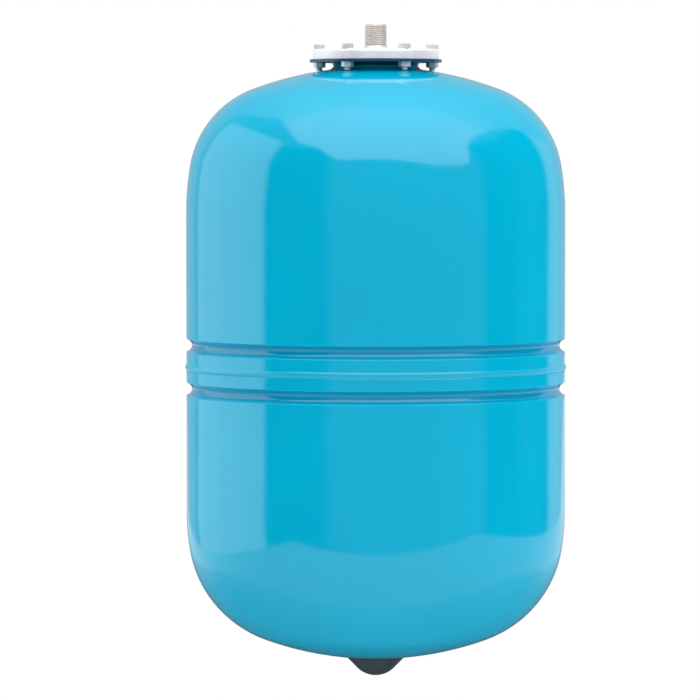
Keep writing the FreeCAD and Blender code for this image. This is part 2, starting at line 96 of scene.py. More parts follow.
# %% [markdown]
# ## Node helpers
# Every finish here is a network of nodes. Written out in full, a network takes ten lines for each node, so
# a few short helpers carry them: one empties a tree, one adds a node with its settings and links, two do
# sums, and one asks what kind of ray has met the surface.


# %% Node helpers
def empty_tree(owner):
    """The node tree of a material, world or lamp, with nothing in it."""
    owner.use_nodes = True
    owner.node_tree.nodes.clear()
    return owner.node_tree


def add(tree, kind, inputs=(), **settings):
    """Adds a node. Settings are its properties. Inputs are its sockets, each with a value or a link."""
    node = tree.nodes.new("ShaderNode" + kind)
    for name, value in settings.items():
        setattr(node, name, value)
    for name, value in dict(inputs).items():
        if isinstance(value, bpy.types.NodeSocket):
            tree.links.new(value, node.inputs[name])
        else:
            node.inputs[name].default_value = value
    return node


def math_of(tree, operation, *values):
    """The result of a Math node on one, two or three values."""
    return add(tree, "Math", enumerate(values), operation=operation).outputs[0]


def length_of(tree, one, other):
    """Length of a step along two axes: the square root of the sum of both squares."""
    squares = math_of(tree, "ADD", math_of(tree, "POWER", one, 2.0), math_of(tree, "POWER", other, 2.0))
    return math_of(tree, "SQRT", squares)


def seen(tree):
    """1 for a ray that carries a picture, straight, through glass or off a shiny face, and else 0."""
    rays = add(tree, "LightPath").outputs
    straight_or_clear = math_of(tree, "MAXIMUM", rays["Is Camera Ray"], rays["Is Transmission Ray"])
    return math_of(tree, "MAXIMUM", straight_or_clear, rays["Is Glossy Ray"])


def grey(level):
    """A colour with the same amount of red, green and blue."""
    return (level, level, level, 1)


print("grey at half level:", grey(0.5))

# %% [markdown]
# ## Background
# The background is plain white. A white world bright enough for that would also flood the tank with light, so
# the world asks what kind of ray it meets: rays from the camera, and rays that a shiny or clear surface sends
# on, find pure white, and matt surfaces get a softer fill from all round.

# %% World
FILL_LEVEL = 0.70
WHITE_LEVEL = 1.0

world = bpy.data.worlds.new("white_room")
bpy.context.scene.world = world
tree = empty_tree(world)
fill = add(tree, "Background", {"Color": grey(1), "Strength": FILL_LEVEL})
white = add(tree, "Background", {"Color": grey(1), "Strength": WHITE_LEVEL})
mixed = add(tree, "MixShader", {0: seen(tree), 1: fill.outputs[0], 2: white.outputs[0]})
add(tree, "OutputWorld", {"Surface": mixed.outputs[0]})
print("world: fill", FILL_LEVEL, "background", WHITE_LEVEL)

# %% [markdown]
# ## What the gloss mirrors
# Glossy paint shows the room more than it shows the lamps' light. On this tank it shows a wide lamp overhead
# that fades towards the back, a tall white panel on the left, a dim wall behind the camera with a dark gap
# on each side of it, a pale strip on the right, a grey wall at the back and the pale table below. Standing
# panels would do, but each one would also change the light. So the room is painted on the inside of a large
# dome that only gloss can see. Its picture is worked out from the direction of each point, in the way that a
# wall, a ceiling or a floor would be met in that direction.

# %% Picture helpers
BRIGHTEST = 2.5


def level_along(tree, value, stops, highest=BRIGHTEST):
    """Brightness along a value, from stops of a value and a brightness, in rising order. A ramp's colours end
    at 1, so each brightness is divided by the highest and multiplied by it again."""
    low, high = stops[0][0], stops[-1][0]
    place = add(tree, "MapRange", {"Value": value, "From Min": low, "From Max": high}).outputs[0]
    ramp = add(tree, "ValToRGB", {"Fac": place})
    elements = ramp.color_ramp.elements
    while len(elements) < len(stops):
        elements.new(0.5)
    # All places are set before any colour, because a ramp sorts its stops by place.
    for element, (at, _) in zip(elements, stops):
        element.position = (at - low) / (high - low)
    for element, (_, level) in zip(elements, stops):
        element.color = grey(level / highest)
    return math_of(tree, "MULTIPLY", ramp.outputs["Color"], highest)


def step_at(tree, value, edge, softness):
    """0 below an edge and 1 above it, with a soft change over twice the softness."""
    ends = {"Value": value, "From Min": edge - softness, "From Max": edge + softness}
    return add(tree, "MapRange", ends, interpolation_type="SMOOTHSTEP").outputs[0]


def between(tree, value, low, high, softness):
    """1 between two edges and 0 outside them."""
    after_high = math_of(tree, "SUBTRACT", 1.0, step_at(tree, value, high, softness))
    return math_of(tree, "MULTIPLY", step_at(tree, value, low, softness), after_high)


def laid_over(tree, under, over, where):
    """The first brightness, with the second laid over it where the third value is 1."""
    return math_of(tree, "MULTIPLY_ADD", math_of(tree, "SUBTRACT", over, under), where, under)


print("brightest level:", BRIGHTEST)

# %% Directions from the tank
DOME_RADIUS = 15.0
DOME_MIDDLE = -0.24
NEVER_ZERO = 0.01
TO_DEGREES = 180 / math.pi

room = bpy.data.materials.new("mirrored_room")
tree = empty_tree(room)
place = add(tree, "TexCoord").outputs["Object"]
from_tank = add(tree, "Mapping", {"Vector": place, "Location": (0, 0, -DOME_MIDDLE)}).outputs[0]
across, deep, high = add(tree, "SeparateXYZ", {0: from_tank}).outputs
to_front = math_of(tree, "MULTIPLY", deep, -1.0)
compass = math_of(tree, "MULTIPLY", math_of(tree, "ARCTAN2", across, to_front), TO_DEGREES)
level_out = length_of(tree, across, deep)
climb = math_of(tree, "MULTIPLY", math_of(tree, "ARCTAN2", high, level_out), TO_DEGREES)
upwards = math_of(tree, "MAXIMUM", high, NEVER_ZERO)
downwards = math_of(tree, "MAXIMUM", math_of(tree, "MULTIPLY", high, -1.0), NEVER_ZERO)
leftwards = math_of(tree, "MAXIMUM", math_of(tree, "MULTIPLY", across, -1.0), NEVER_ZERO)
print("compass: 0 is the front and 90 the right; climb: 0 is level and 90 straight up")

# %% Walls by compass direction
BACK_WALL, FRONT_WALL, DARK_GAP, RIGHT_STRIP, LEFT_GAP, CEILING = 0.45, 0.24, 0.0, 0.64, 0.30, 0.25
CEILING_EDGE, CEILING_SOFTNESS = 36.0, 1.0
walls = level_along(tree, compass, [
    (-180, BACK_WALL), (-144, BACK_WALL), (-141, LEFT_GAP), (-75, LEFT_GAP), (-69, DARK_GAP), (-32, DARK_GAP),
    (-26, FRONT_WALL), (66, FRONT_WALL), (71, DARK_GAP), (125, DARK_GAP), (130.5, RIGHT_STRIP),
    (140, RIGHT_STRIP), (148, BACK_WALL), (180, BACK_WALL),
])
walls = laid_over(tree, walls, CEILING, step_at(tree, climb, CEILING_EDGE, CEILING_SOFTNESS))
print("front wall", FRONT_WALL, "back wall", BACK_WALL, "dark gaps", DARK_GAP, "ceiling", CEILING)

# %% Left panel, a plane one unit to the left of the tank
PANEL_FRONT, PANEL_BACK, PANEL_FOOT, PANEL_TOP = -0.345, 1.07, -0.80, 0.84
PANEL_SIDE_SOFTNESS, PANEL_END_SOFTNESS = 0.05, 0.04
panel_back = math_of(tree, "DIVIDE", deep, leftwards)
panel_up = math_of(tree, "DIVIDE", high, leftwards)
panel_level = level_along(tree, panel_back, [
    (-0.4, 1.55), (0.10, 1.55), (0.29, 1.36), (0.49, 1.23), (0.62, 1.05), (0.87, 0.93), (1.04, 0.80),
    (1.2, 0.80),
])
within_sides = between(tree, panel_back, PANEL_FRONT, PANEL_BACK, PANEL_SIDE_SOFTNESS)
within_ends = between(tree, panel_up, PANEL_FOOT, PANEL_TOP, PANEL_END_SOFTNESS)
panel_shape = math_of(tree, "MULTIPLY", within_sides, within_ends)
picture = laid_over(tree, walls, panel_level, panel_shape)
print("left panel: its brightness falls from the front edge to the back edge")

# %% Table, a plane one unit below the tank
TABLE_LEFT, TABLE_RIGHT, TABLE_FRONT, TABLE_SOFTNESS = -3.6, 5.5, -2.9, 0.1
SHADE_SQUEEZE, SHADE_REACH = 0.8, 1.4
table_across = math_of(tree, "DIVIDE", across, downwards)
table_back = math_of(tree, "DIVIDE", deep, downwards)
shade_across = math_of(tree, "MULTIPLY", table_across, SHADE_SQUEEZE)
shade_back = math_of(tree, "MINIMUM", math_of(tree, "SUBTRACT", table_back, SHADE_REACH), 0.0)
table_level = level_along(tree, length_of(tree, shade_back, shade_across), [
    (0.0, 0.04), (0.3, 0.08), (0.75, 0.16), (1.0, 0.22), (1.2, 0.28), (1.4, 0.40), (1.55, 0.43), (1.7, 0.54),
    (1.85, 0.72), (2.1, 0.80), (4.0, 0.85),
])
below = math_of(tree, "LESS_THAN", high, 0.0)
within_sides = between(tree, table_across, TABLE_LEFT, TABLE_RIGHT, TABLE_SOFTNESS)
table_shape = math_of(tree, "MULTIPLY", within_sides, step_at(tree, table_back, TABLE_FRONT, TABLE_SOFTNESS))
picture = laid_over(tree, picture, table_level, math_of(tree, "MULTIPLY", table_shape, below))
print("table: dark in the tank's shade, pale elsewhere")

# %% Lamp overhead
# Its edge is a climb in degrees at each compass direction. Its brightness is that of a plane one unit above
# the tank.
LAMP_EDGE = [
    (-180, 10), (-150, 24), (-139, 34.5), (-135, 38), (-130, 41), (-122, 46), (-112, 51), (-104, 53.5),
    (-97, 53), (-82, 50.5), (-70, 46.5), (-58, 41), (-42, 37.6), (-38, 35.5), (-35, 33), (-29, 27.5),
    (-24, 25.2), (0, 26.6), (15, 25.7), (34, 19.8), (54, 17.8), (60, 18.5), (63, 25), (67, 36),
    (78, 41.4), (88, 42.3), (102, 41.5), (116, 37), (126, 30), (131, 24), (145, 14), (180, 10),
]
HIGHEST_EDGE, LAMP_SOFTNESS = 60.0, 1.8
lamp_back = math_of(tree, "DIVIDE", deep, upwards)
lamp_level = level_along(tree, lamp_back, [
    (-2.1, 2.0), (-0.75, 2.2), (-0.2, 2.15), (0.0, 1.85), (0.12, 1.35), (0.29, 1.08), (0.49, 0.76),
    (0.78, 0.58), (1.2, 0.43), (1.5, 0.40), (4.0, 0.42),
])
over_edge = math_of(tree, "SUBTRACT", climb, level_along(tree, compass, LAMP_EDGE, highest=HIGHEST_EDGE))
lamp_shape = step_at(tree, over_edge, 0.0, LAMP_SOFTNESS)
picture = laid_over(tree, picture, lamp_level, lamp_shape)
glow = add(tree, "Emission", {"Strength": picture})
add(tree, "OutputMaterial", {"Surface": glow.outputs[0]})
room.cycles.emission_sampling = "NONE"
print("nodes in the picture of the room:", len(tree.nodes))

# %% [markdown]
# ## Surfaces from numpy
# Nearly every piece of this tank was spun, turned or rolled, so one pair of helpers makes them all. A profile
# is a list of points, each a distance from the axis and a height. Carried round the axis it gives a grid of
# points, whose rows are rings. A second helper joins the grid's neighbours with faces. A Screw or Spin tool
# would also turn a profile, but with a grid the points can still be moved before the mesh is made, which
# threads, hexagons and weld ripples need.


# %% Mesh from a grid
def signed_volume(points, quads):
    """Volume inside a closed mesh, negative when its faces point inwards: the sum of its corner pyramids."""
    a, b, c, d = (points[quads[:, corner]] for corner in range(4))
    triples = np.einsum("ij,ij->i", a, np.cross(b, c)) + np.einsum("ij,ij->i", a, np.cross(c, d))
    return triples.sum() / 6


def ring_faces(rows, columns, looped):
    """Quads that join each row to the next, all the way round, and the last row to the first if looped."""
    index = np.arange(rows * columns).reshape(rows, columns)
    lower = index if looped else index[:-1]
    upper = np.roll(index, -1, axis=0) if looped else index[1:]
    return np.stack([lower, np.roll(lower, -1, 1), np.roll(upper, -1, 1), upper], -1).reshape(-1, 4)


def mesh_of(name, grid, material, looped=True, sharp=50.0):
    """Closed mesh from a grid of rows, columns and coordinates. Rows go round. An open grid gets a point at
    the middle of its first and last row. Edges sharper than the given angle in degrees are not smoothed."""
    rows, columns = grid.shape[:2]
    points = grid.reshape(-1, 3)
    quads = ring_faces(rows, columns, looped)
    if not looped:
        first, last = len(points), len(points) + 1
        points = np.concatenate([points, [grid[0].mean(0)], [grid[-1].mean(0)]])
        ring = np.arange(columns)
        ahead = np.roll(ring, -1)
        end = ring + (rows - 1) * columns
        bottom_fan = np.stack([np.full(columns, first), ahead, ring, ring], -1)
        top_fan = np.stack([end, np.roll(end, -1), np.full(columns, last), np.full(columns, last)], -1)
        quads = np.concatenate([quads, bottom_fan, top_fan])
    if signed_volume(points, quads) < 0:
        quads = quads[:, ::-1]
    faces = [list(dict.fromkeys(face)) for face in quads.tolist()]
    mesh = bpy.data.meshes.new(name)
    mesh.from_pydata(points.tolist(), [], faces)
    mesh.materials.append(material)
    mesh.polygons.foreach_set("use_smooth", np.ones(len(faces), dtype=bool))
    mesh.set_sharp_from_angle(angle=math.radians(sharp))
    return placed(name, mesh)


print("faces in a ring of 4 by 6:", len(ring_faces(4, 6, False)))


# %% Profiles
def arc(centre, radius, start, end, step=2.0):
    """Points on a circle about a centre: its radius times the cosine and sine of each angle in degrees."""
    count = max(2, math.ceil(abs(end - start) / step) + 1)
    turns = np.radians(np.linspace(start, end, count))
    return np.stack([centre[0] + radius * np.cos(turns), centre[1] + radius * np.sin(turns)], axis=1)


def straight(start, end, spacing=None):
    """Points from one corner to another. Without a spacing there are four, the ends and one close to each,
    which keep the smoothed shading flat in between."""
    if spacing is None:
        shares = np.array([0.0, 0.04, 0.96, 1.0])
    else:
        length = math.hypot(end[0] - start[0], end[1] - start[1])
        shares = np.linspace(0, 1, max(2, math.ceil(length / spacing) + 1))
    return np.array(start) + shares[:, None] * (np.array(end) - np.array(start))


def join(*runs):
    """One profile from several, without the points that repeat."""
    points = np.concatenate(runs)
    apart = np.linalg.norm(np.diff(points, axis=0), axis=1) > 1e-4 * MM
    return points[np.concatenate([[True], apart])]


def through(*corners, spacing=None):
    """Straight runs from corner to corner."""
    return join(*[straight(start, end, spacing) for start, end in zip(corners, corners[1:])])


def full_turn(sides):
    """Angles that divide a full turn, in radians, without the last one, which is the first again."""
    return np.linspace(0, 2 * np.pi, sides, endpoint=False)


def round_axis(away, height, turns):
    """Points: x is the distance times the cosine of the turn, y is it times the sine, and z is the height."""
    return np.stack([away * np.cos(turns), away * np.sin(turns), height + 0 * turns], axis=-1)


def spun(profile, sides):
    """Grid of a profile carried round the axis."""
    return round_axis(profile[:, :1], profile[:, 1:], full_turn(sides))


print("points on a quarter circle:", len(arc((0, 0), 1, 0, 90)))

# %% Dome
DOME_SIDES, DOME_STEP, NEAR_POLE = 64, 5, 89
dome_profile = arc((0, DOME_MIDDLE), DOME_RADIUS, -NEAR_POLE, NEAR_POLE, DOME_STEP)
dome = mesh_of("room_dome", spun(dome_profile, DOME_SIDES), room, looped=False)
dome.visible_camera = False
dome.visible_diffuse = False
dome.visible_shadow = False
print("dome faces:", len(dome.data.polygons))

# %% [markdown]
# ## Table
# The tank hangs above a plain pale table. Its white comes from its own colour as the camera sees it, so it
# still takes the tank's soft shadow. Seen from below it is clear, which leaves the underside of the tank open
# to view.

# %% Table
TABLE_HEIGHT = -610.0 * MM
TABLE_HALF = 0.95
TABLE_COLOUR = 0.74
TABLE_LIFT = 0.60

paper = bpy.data.materials.new("table_paper")
tree = empty_tree(paper)
lift = math_of(tree, "MULTIPLY", seen(tree), TABLE_LIFT)
matt = add(tree, "BsdfDiffuse", {"Color": grey(TABLE_COLOUR)})
lifted = add(tree, "AddShader", {0: matt.outputs[0], 1: add(tree, "Emission", {"Strength": lift}).outputs[0]})
clear = add(tree, "BsdfTransparent")
underside = add(tree, "NewGeometry").outputs["Backfacing"]
sided = add(tree, "MixShader", {0: underside, 1: lifted.outputs[0], 2: clear.outputs[0]})
add(tree, "OutputMaterial", {"Surface": sided.outputs[0]})

corners = [(-1, -1), (1, -1), (1, 1), (-1, 1)]
table_mesh = bpy.data.meshes.new("table")
table_points = [(x * TABLE_HALF, y * TABLE_HALF, TABLE_HEIGHT) for x, y in corners]
table_mesh.from_pydata(table_points, [], [(0, 1, 2, 3)])
table_mesh.materials.append(paper)
table = placed("table", table_mesh)
table.visible_glossy = False
print("table height in mm:", round(TABLE_HEIGHT / MM))

# %% [markdown]
# ## Lamps
# Three large rectangles light the matt part of every finish: a wide one overhead, and one behind the tank on
# each side. Large lamps give soft shadows. The gloss has its own picture of the room already, so it doesn't
# see the lamps.


# %% Lamps
def lamp(name, centre, lean, turn, width, height, brightness):
    """Rectangular lamp. It faces down until it leans up from that and turns round, both in degrees. The
    brightness is that of its face, where 1 is white: energy is four times face area times brightness."""
    light = bpy.data.lights.new(name, "AREA")
    light.shape = "RECTANGLE"
    light.size = width
    light.size_y = height
    light.energy = 4 * width * height * brightness
    holder = placed(name, light)
    holder.location = centre
    holder.rotation_euler = (math.radians(lean), 0, math.radians(turn))
    holder.visible_camera = False
    holder.visible_glossy = False


lamp("lamp_overhead", (0.32, -1.03, 1.17), 0, 0, 3.19, 3.56, 1.05)
lamp("lamp_left", (-1.27, 1.27, -0.15), 90, -135, 1.8, 1.1, 2.9)
lamp("lamp_right", (1.52, 0.88, -0.15), 90, 120, 1.8, 1.1, 2.2)

# %% [markdown]
# ## Finishes
# One function starts every finish: a Principled shader with its plain numbers set on its own sockets. Colour,
# roughness and relief then come from noise on Object coordinates. Those are metres in the model's frame, so
# a pattern keeps its real size and stays on the piece from every side. Most of a noise lies between 0.3 and
# 0.7, and that range is spread over what it drives.


# %% Finish helpers
NOISE_LOW, NOISE_HIGH = 0.3, 0.7


def finish(name, **sockets):
    """Material with a Principled shader: its tree, its shader and the coordinates of its patterns."""
    material = bpy.data.materials.new(name)
    tree = empty_tree(material)
    shader = add(tree, "BsdfPrincipled", sockets)
    add(tree, "OutputMaterial", {"Surface": shader.outputs[0]})
    return material, tree, shader, add(tree, "TexCoord").outputs["Object"]


def noise(tree, where, size, detail=2.0, stretch=(1, 1, 1)):
    """Noise whose lumps are about as wide as the size. Stretch divides its grain along x, y and z."""
    scaled = add(tree, "Mapping", {"Vector": where, "Scale": tuple(1 / (size * part) for part in stretch)})
    return add(tree, "TexNoise", {"Vector": scaled.outputs[0], "Scale": 1.0, "Detail": detail}).outputs["Fac"]


def shades(tree, factor, dark, light):
    """Colour from dark to light as a noise goes from low to high."""
    ramp = add(tree, "ValToRGB", {"Fac": factor})
    for element, place, colour in zip(ramp.color_ramp.elements, (NOISE_LOW, NOISE_HIGH), (dark, light)):
        element.position = place
        element.color = (*colour, 1)
    return ramp.outputs["Color"]


def mapped(tree, value, low, high, to_low, to_high):
    """Value carried from one range to another."""
    ends = {"Value": value, "From Min": low, "From Max": high, "To Min": to_low, "To Max": to_high}
    return add(tree, "MapRange", ends).outputs[0]


def spread(tree, factor, low, high):
    """Value from low to high as a noise goes from low to high."""
    return mapped(tree, factor, NOISE_LOW, NOISE_HIGH, low, high)


def away_from_axis(tree, where):
    """Distance from the tank's axis: the length of the place with its height left out."""
    flat = add(tree, "VectorMath", {0: where, 1: (1, 1, 0)}, operation="MULTIPLY").outputs[0]
    return add(tree, "VectorMath", {0: flat}, operation="LENGTH").outputs[1]


def dress(tree, shader, colour, roughness):
    """Links a colour and a roughness to the shader."""
    tree.links.new(colour, shader.inputs["Base Color"])
    tree.links.new(roughness, shader.inputs["Roughness"])


def relief(tree, shader, height, depth):
    """Bump on the shader's normal, from a height between 0 and 1 and its depth in metres."""
    bump = add(tree, "Bump", {"Height": height, "Distance": depth, "Strength": 1.0})
    tree.links.new(bump.outputs[0], shader.inputs["Normal"])


def product(tree, colour, factor):
    """A colour times a number, or times another colour, channel by channel."""
    return add(tree, "VectorMath", {0: colour, 1: factor}, operation="MULTIPLY").outputs[0]


def grained(name, size, dark, light, grain, smooth, rough, depth, stretch=(1, 1, 1), **sockets):
    """Material whose colour follows one noise, and whose roughness and relief follow a finer one."""
    material, tree, shader, where = finish(name, **sockets)
    tone = shades(tree, noise(tree, where, size), dark, light)
    marks = noise(tree, where, grain, stretch=stretch)
    dress(tree, shader, tone, spread(tree, marks, smooth, rough))
    relief(tree, shader, marks, depth)
    return material


finishes = {}
print("a noise is spread from", NOISE_LOW, "to", NOISE_HIGH)

# %% [markdown]
# ### Cyan powder coat
# The vessel is sprayed with cyan powder and baked. The film flows out glossy, but not as flat as glass: it
# keeps a fine orange peel, a few millimetres from crest to crest and a few thousandths deep. The peel is a
# bump, because such a shallow form only shows in how it bends reflections. A plain clear coat would look too
# perfect. In the grooves the colour is darkened as painted shade, and on the girth weld the coat is less
# glossy. Both follow the distance from the axis, which is less in a groove than on the wall, and more on the
# bead.

# %% Cyan powder coat
CYAN_DEEP, CYAN_PALE = (0.0, 0.399, 0.617), (0.0, 0.422, 0.644)
TONE_SIZE, GLOSS_SIZE, PEEL_SIZE, PEEL_DEPTH = 90 * MM, 25 * MM, 3.5 * MM, 0.012 * MM
GLOSSY, LESS_GLOSSY, BEAD_ROUGHNESS = 0.07, 0.10, 0.16
# Painted shade in the grooves: green and blue are lowered by these shares at a groove's root.
GROOVE_PAINTED_SHADE = (0, -0.25, -0.17)
GIRTH_REACH, GIRTH_SOFTNESS, BEAD_SOFTNESS = 29 * MM, 0.5 * MM, 0.1 * MM
tank_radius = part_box("upper_shell")[1][0]
seam = (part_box("girth_weld")[0][2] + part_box("girth_weld")[1][2]) / 2
groove_starts, groove_deepens = tank_radius - 0.6 * MM, tank_radius - 2.8 * MM
bead_starts = tank_radius + 0.2 * MM

paint, tree, shader, where = finish("cyan_powder_coat", IOR=1.55)
tone = shades(tree, noise(tree, where, TONE_SIZE), CYAN_DEEP, CYAN_PALE)
away = away_from_axis(tree, where)
height = add(tree, "SeparateXYZ", {0: where}).outputs[2]
in_girth = between(tree, height, seam - GIRTH_REACH, seam + GIRTH_REACH, GIRTH_SOFTNESS)
# Painted shade: the deeper a point lies in a groove, the darker its colour.
sunk = mapped(tree, away, groove_starts, groove_deepens, 0.0, 1.0)
groove_shade_mask = math_of(tree, "MULTIPLY", in_girth, sunk)
groove_shade = add(tree, "VectorMath", {0: groove_shade_mask, 1: GROOVE_PAINTED_SHADE, 2: (1, 1, 1)}, operation="MULTIPLY_ADD")
tone = product(tree, tone, groove_shade.outputs[0])
on_bead = math_of(tree, "MULTIPLY", in_girth, step_at(tree, away, bead_starts, BEAD_SOFTNESS))
gloss = spread(tree, noise(tree, where, GLOSS_SIZE), GLOSSY, LESS_GLOSSY)
dress(tree, shader, tone, math_of(tree, "MULTIPLY_ADD", on_bead, BEAD_ROUGHNESS, gloss))
relief(tree, shader, noise(tree, where, PEEL_SIZE, detail=1.0), PEEL_DEPTH)
finishes["body_paint"] = paint
print("paint nodes:", len(tree.nodes))

# %% Neck flange coat, its cyan darkened as painted shade
# The neck flange gets the tank's cyan darkened to deep teal: painted shade under the counter-flange's rim.
FLANGE_SHADE_DEEP, FLANGE_SHADE_PALE = (0.002, 0.055, 0.12), (0.004, 0.068, 0.14)
COAT_SIZE, PATCH_SIZE, GRIT_SIZE, GRIT_DEPTH = 15 * MM, 6 * MM, 1.5 * MM, 0.02 * MM

coat, tree, shader, where = finish("flange_painted_shade_coat", IOR=1.5)
tone = shades(tree, noise(tree, where, COAT_SIZE), FLANGE_SHADE_DEEP, FLANGE_SHADE_PALE)
dress(tree, shader, tone, spread(tree, noise(tree, where, PATCH_SIZE), 0.25, 0.40))
relief(tree, shader, noise(tree, where, GRIT_SIZE), GRIT_DEPTH)
finishes["flange_paint"] = coat
print("flange shade coat nodes:", len(tree.nodes))

# %% [markdown]
# ### Zinc
# The counter-flange is pressed from galvanised sheet. Its zinc is dull and pale, with faint crystals called
# spangle, a fine rolled grain and a trace of mauve. Voronoi cells make the crystals, and noise the rest. The
# flat top is darker than the turned-down rim, which is painted shade for the light from above, so the tone
# follows the distance from the tank's axis.
#
# Bolts and nuts are zinc plated in a bath, which leaves an even skin that is bluer and nearly white. Its
# chromate film scatters much of the light, so it is only partly metallic. Turned pieces have fine marks that
# run round them, and a drawn pin has marks along it.

# %% Galvanised sheet
ZINC_GREY, ZINC_MAUVE = (0.90, 0.89, 0.90), (0.89, 0.84, 0.89)
DULL_CRYSTAL, TOP_PAINTED_SHADE = 0.94, 0.62
CRYSTAL_SIZE, MAUVE_SIZE, GRAIN_SIZE, GRAIN_DEPTH = 5 * MM, 22 * MM, 0.5 * MM, 0.01 * MM
RIM_WIDTH, RIM_SOFTNESS = 2 * MM, 0.5 * MM
rim_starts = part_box("counter_flange")[1][0] - RIM_WIDTH

zinc, tree, shader, where = finish("galvanised_sheet", Metallic=0.35)
crystal = add(tree, "TexVoronoi", {"Vector": where, "Scale": 1 / CRYSTAL_SIZE}).outputs["Color"]
spangle = add(tree, "SeparateColor", {0: crystal}).outputs["Red"]
tint = shades(tree, noise(tree, where, MAUVE_SIZE), ZINC_GREY, ZINC_MAUVE)
bright = mapped(tree, spangle, 0.0, 1.0, DULL_CRYSTAL, 1.0)
# Painted shade: the flat top is darkened, and the turned-down rim keeps its full tone.
on_rim = step_at(tree, away_from_axis(tree, where), rim_starts, RIM_SOFTNESS)
top_shade = mapped(tree, on_rim, 0.0, 1.0, TOP_PAINTED_SHADE, 1.0)
tone = product(tree, tint, math_of(tree, "MULTIPLY", bright, top_shade))
dress(tree, shader, tone, mapped(tree, spangle, 0.0, 1.0, 0.46, 0.56))
relief(tree, shader, noise(tree, where, GRAIN_SIZE), GRAIN_DEPTH)
finishes["galvanised_plate"] = zinc
print("zinc nodes:", len(tree.nodes))

# %% Plated steel, turned steel, brass and pin steel
EVEN, TURNED, DRAWN = (1, 1, 1), (20, 20, 1), (1, 1, 20)
STAIN_SIZE, MARK_SIZE, MARK_DEPTH = 6 * MM, 0.35 * MM, 0.006 * MM
# Each slot's material has a name, how metallic it is, its dark and pale colour, its least and greatest
# roughness, and the run of its marks.
METALS = {
    "fastener_zinc": ("bright_zinc_plate", 0.4, (0.70, 0.75, 0.80), (0.78, 0.81, 0.84), 0.35, 0.45, EVEN),
    "nozzle_steel": ("turned_steel", 0.7, (0.72, 0.68, 0.65), (0.80, 0.77, 0.74), 0.42, 0.52, TURNED),
    "valve_brass": ("turned_brass", 1.0, (0.78, 0.57, 0.25), (0.85, 0.65, 0.32), 0.24, 0.34, TURNED),
    "pin_steel": ("drawn_steel", 1.0, (0.56, 0.56, 0.57), (0.66, 0.66, 0.66), 0.28, 0.38, DRAWN),
}
for slot_name, (name, metallic, dark, light, smooth, rough, run) in METALS.items():
    finishes[slot_name] = grained(
        name, STAIN_SIZE, dark, light, MARK_SIZE, smooth, rough, MARK_DEPTH, run, Metallic=metallic)
print("metals:", list(METALS))

# %% [markdown]
# ### Plastic and rubber
# The valve cover is moulded in black plastic, and the mould was spark-eroded, which leaves a fine even grain
# with a low sheen. Rubber is rougher and a little paler where it has bloomed.

# %% Black plastic and rubber
BLOOM_SIZE = 12 * MM
# Each slot's material has a name, its dark and pale colour, its least and greatest roughness, and the size
# and depth of its grain.
SOFT_ONES = {
    "cover_plastic": (
        "moulded_plastic", (0.020, 0.037, 0.046), (0.027, 0.046, 0.056), 0.28, 0.36, 0.5 * MM, 0.02 * MM),
    "bladder_rubber": (
        "bladder_rubber", (0.020, 0.020, 0.021), (0.034, 0.033, 0.032), 0.55, 0.70, 0.8 * MM, 0.02 * MM),
    "seal_rubber": (
        "seal_rubber", (0.018, 0.018, 0.018), (0.028, 0.028, 0.028), 0.50, 0.62, 0.3 * MM, 0.01 * MM),
}
for slot_name, (name, dark, light, smooth, rough, grain, depth) in SOFT_ONES.items():
    finishes[slot_name] = grained(name, BLOOM_SIZE, dark, light, grain, smooth, rough, depth, IOR=1.5)
print("plastic and rubber:", list(SOFT_ONES))

# %% [markdown]
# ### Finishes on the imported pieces
# The two flanges and most hidden pieces are right as they come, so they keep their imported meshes. Each only
# gets the finish of its material slot. The pieces that are made again below pick up the same finishes.

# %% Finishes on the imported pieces
slot_of = {part["node"]: part["material_slot"] for part in frame["record"]["subparts"]}
for name, node in nodes.items():
    node.data.materials.clear()
    node.data.materials.append(finishes[slot_of[name]])
print("finished nodes:", len(slot_of))


# %% [markdown]
# ### Standing in for a imported piece
# A new piece gets the finish of the imported piece's slot, hangs from the same body, and hides the imported
# piece that it stands for. One function makes its mesh and does all three.


# %% Stand-in
def stand_in(node, grid, body="tank", looped=True, sharp=50.0):
    """Makes a new piece from a grid and lets it stand for a packed one."""
    piece = mesh_of(node + "_made", grid, finishes[slot_of[node]], looped, sharp)
    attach(piece, body)
    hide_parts(node)
    print(piece.name, "triangles:", sum(len(face.vertices) - 2 for face in piece.data.polygons))
    return piece


# %% [markdown]
# ## The drawn halves
# Each half of the vessel is one disc of steel, drawn into a cup. Its head has three arcs that run into each
# other without a corner: a shoulder that leaves the cylinder, a tight knuckle and a flat crown. Near the seam
# each half has a rolled groove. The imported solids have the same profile. They are made again as dense grids,
# because gloss shows every facet, and because drawn sheet is a little uneven.

# %% Sizes of the vessel
WALL = 1.2 * MM
COLLAR_RADIUS, COLLAR_FILLET, COLLAR_LAND = 31.0 * MM, 5.0 * MM, 0.6 * MM
GROOVE_FROM_SEAM, GROOVE_DEPTH, GROOVE_HALF_WIDTH = 16.2 * MM, 4.1 * MM, 5.3 * MM
GROOVE_EDGE, GROOVE_INNER_EDGE, GROOVE_FLANK = 0.5 * MM, 0.2 * MM, 62.0
SHOULDER_ANGLE = 10.0
WALL_SPACING, SEAM_SPACING = 4 * MM, 2 * MM
SEAM_GAP, LIP_HEIGHT, LIP_FIT = 1.2 * MM, 8.0 * MM, 0.1 * MM
BEAD_HEIGHT, BEAD_PROUD = 4.7 * MM, 0.7 * MM

ring_under, ring_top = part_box("neck_flange")[0][2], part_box("neck_flange")[1][2]
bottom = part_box("valve_boss")[0][2]
gap_low, gap_high = seam - SEAM_GAP / 2, seam + SEAM_GAP / 2
bead_low, bead_high = seam - BEAD_HEIGHT / 2, seam + BEAD_HEIGHT / 2
lip = tank_radius - WALL - LIP_FIT
print("radius, seam and bottom in mm:", [round(value / MM, 2) for value in (tank_radius, seam, bottom)])


